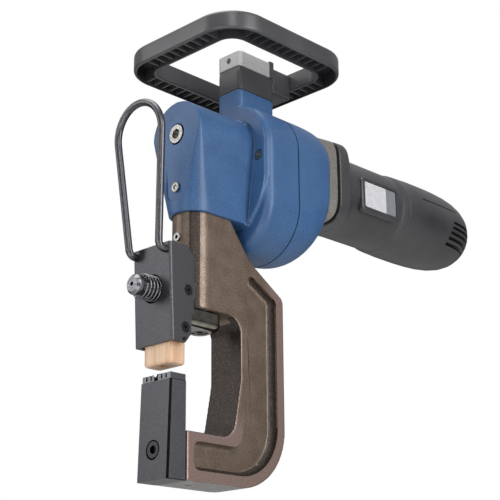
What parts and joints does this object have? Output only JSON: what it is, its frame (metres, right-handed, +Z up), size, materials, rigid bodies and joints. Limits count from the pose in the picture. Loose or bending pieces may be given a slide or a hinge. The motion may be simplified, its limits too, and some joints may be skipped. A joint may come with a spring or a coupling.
{
  "type": "press-joining power tool",
  "caption": "Hand-held electric press-joining tool: a forged C-frame with a die below and a motor-driven ram, punch and stripper above, a gear head, a rear motor and a loop handle.",
  "frame": {"origin": "centre of the punch axis on the flat base face under the die holder", "axes": "+X right as seen from the front, +Y to the rear along the motor, +Z up along the punch axis"},
  "size_m": [0.1412, 0.4306, 0.3799],
  "materials": {
    "forged_steel": "bronze-brown lacquer over forged steel, fine grain",
    "black_oxide": "black-oxide tool steel, satin",
    "black_steel": "black-oxide screw and spring steel",
    "tool_steel": "ground bare steel",
    "zinc_steel": "bright zinc-plated steel",
    "bronze": "bearing bronze",
    "polyurethane": "cast polyurethane, satin",
    "gunmetal_wire": "gunmetal-plated spring wire",
    "blue_paint": "fine-texture blue powder coat on cast aluminium",
    "gasket_paper": "black gasket paper",
    "cast_aluminium": "bare die-cast aluminium",
    "dark_plastic": "moulded dark grey polyamide",
    "handle_plastic": "moulded dark grey polyamide",
    "label_white": "white label plate",
    "black_rubber": "black rubber",
    "slider_plastic": "black moulded switch slider",
    "lamination_steel": "stacked lamination steel",
    "copper": "copper",
    "carbon": "carbon brush",
    "brass": "brass"
  },
  "bodies": {
    "frame": {"bearing_plate": "tool_steel", "brush_holders": "brass", "c_frame": "forged_steel", "cable_gland": "black_rubber", "carbon_brushes": "carbon", "column_pin": "zinc_steel", "counter_bearings": "tool_steel", "crank_bearings": "tool_steel", "crank_pivot_screw": "zinc_steel", "die_anvil": "tool_steel", "die_block": "tool_steel", "die_dowels": "tool_steel", "die_holder": "black_oxide", "die_holder_screw": "black_steel", "die_plates": "tool_steel", "flange_screws": "zinc_steel", "gear_head_housing": "blue_paint", "gear_housing_cover": "blue_paint", "handle_plate": "handle_plastic", "handle_post": "handle_plastic", "head_screw": "zinc_steel", "housing_gasket": "gasket_paper", "label_plate": "label_white", "motor_adapter": "cast_aluminium", "motor_cap": "dark_plastic", "motor_housing": "dark_plastic", "ram_bush": "bronze", "ring_handle": "handle_plastic", "rotor_bearings": "tool_steel", "stator_core": "lamination_steel", "stator_windings": "copper", "suspension_block": "cast_aluminium", "switch_module": "dark_plastic"},
    "crank": {"crank_shaft": "tool_steel", "crank_roller": "tool_steel", "crank_gear": "tool_steel"},
    "countershaft_set": {"countershaft": "tool_steel", "counter_pinion": "tool_steel", "counter_gear": "tool_steel"},
    "rotor": {"rotor_shaft": "tool_steel", "rotor_pinion": "tool_steel", "rotor_core": "lamination_steel", "commutator": "copper", "fan": "dark_plastic"},
    "ram_set": {"ram": "tool_steel", "ram_foot": "tool_steel", "foot_screw": "black_steel", "punch_bracket": "black_oxide", "punch_holder": "black_oxide", "punch": "tool_steel", "torx_screws": "zinc_steel", "bracket_pins": "black_steel", "wire_bail": "gunmetal_wire", "stripper_spring": "black_steel", "bolt_spring": "black_steel"},
    "stripper": {"stripper_block": "polyurethane"},
    "bolt": {"release_bolt": "black_steel"},
    "switch": {"switch_slider": "slider_plastic"}
  },
  "joints": [
    {"name": "crank_turn", "type": "hinge", "parent": "frame", "child": "crank", "pos_m": [0, 0.075, 0.2845], "axis": [0, 1, 0], "range_deg": [0, 180]},
    {"name": "countershaft_turn", "type": "hinge", "parent": "frame", "child": "countershaft_set", "pos_m": [0, 0.1, 0.23725], "axis": [0, 1, 0], "range_deg": [-631, 0]},
    {"name": "rotor_turn", "type": "hinge", "parent": "frame", "child": "rotor", "pos_m": [0, 0.2, 0.27875], "axis": [0, 1, 0], "range_deg": [0, 4124]},
    {"name": "ram_slide", "type": "slide", "parent": "frame", "child": "ram_set", "axis": [0, 0, -1], "range_m": [0, 0.0121]},
    {"name": "stripper_slide", "type": "slide", "parent": "ram_set", "child": "stripper", "axis": [0, 0, 1], "range_m": [0, 0.00585], "deforming": ["stripper_spring"]},
    {"name": "bolt_push", "type": "slide", "parent": "ram_set", "child": "bolt", "axis": [0, 1, 0], "range_m": [0, 0.005], "stiffness_N_per_m": 600, "deforming": ["bolt_spring"]},
    {"name": "switch_slide", "type": "slide", "parent": "frame", "child": "switch", "axis": [0, 1, 0], "range_m": [0, 0.006]}
  ],
  "couplings": [
    {"joint": "countershaft_turn", "follows": "crank_turn", "ratio": -3.5},
    {"joint": "rotor_turn", "follows": "crank_turn", "ratio": 22.909},
    {"joint": "ram_slide", "follows": "crank_turn", "m_per_rad": 0.0038197},
    {"joint": "stripper_slide", "follows": "crank_turn", "m_per_rad": 0.0018462}
  ]
}
